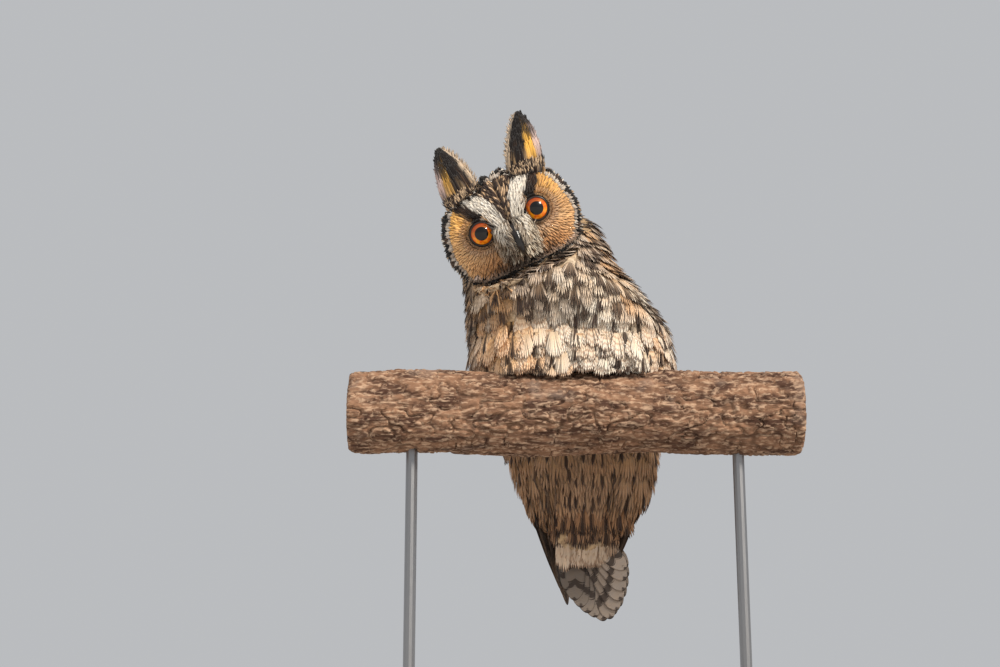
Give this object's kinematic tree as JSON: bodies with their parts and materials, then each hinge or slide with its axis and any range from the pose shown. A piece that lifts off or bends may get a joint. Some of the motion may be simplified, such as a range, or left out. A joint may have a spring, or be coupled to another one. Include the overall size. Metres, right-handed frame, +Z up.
{
  "type": "long-eared owl on a perch",
  "caption": "Life-size still model of a long-eared owl that grips a cut length of branch, on a plain two-rod display stand.",
  "frame": {"origin": "middle of the underside of the display base, on the floor", "axes": "+Z up, -Y the way the owl's belly faces, +X the owl's left, with the perch along X"},
  "size_m": [0.31, 0.2045, 0.4501],
  "materials": {
    "plumage_face": "soft matt feathers",
    "plumage_breast": "soft matt feathers, cream with dark streaks and bars",
    "plumage_back": "soft matt feathers, mottled brown",
    "plumage_wing": "soft matt feathers, mottled and barred brown",
    "flight_feather": "matt vanes, barred brown",
    "tail_feather": "matt vanes, grey brown with dark bars",
    "ear_tuft": "soft matt feathers, blackish",
    "foot_feather": "soft short feathers, buff",
    "bill": "semi-gloss horn",
    "claw": "semi-gloss horn",
    "eye": "glossy, orange iris and black pupil",
    "bark": "rough scaly bark, sawn ends",
    "stand_wood": "satin dark stain",
    "stand_steel": "brushed"
  },
  "bodies": {
    "root": {"head": "plumage_face", "neck": "plumage_back", "trunk": "plumage_breast", "wing_left": "plumage_wing", "wing_right": "plumage_wing", "wing_left_quills": "flight_feather", "wing_right_quills": "flight_feather", "tail": "tail_feather", "ear_tuft_left": "ear_tuft", "ear_tuft_right": "ear_tuft", "leg_left": "foot_feather", "leg_right": "foot_feather", "foot_left": "foot_feather", "foot_right": "foot_feather", "bill": "bill", "eye_left": "eye", "eye_right": "eye", "perch": "bark", "stand_base": "stand_wood", "stand_rod_left": "stand_steel", "stand_rod_right": "stand_steel", "claw_left_1": "claw", "claw_left_2": "claw", "claw_left_3": "claw", "claw_left_4": "claw", "claw_right_1": "claw", "claw_right_2": "claw", "claw_right_3": "claw", "claw_right_4": "claw"}
  },
  "joints": []
}
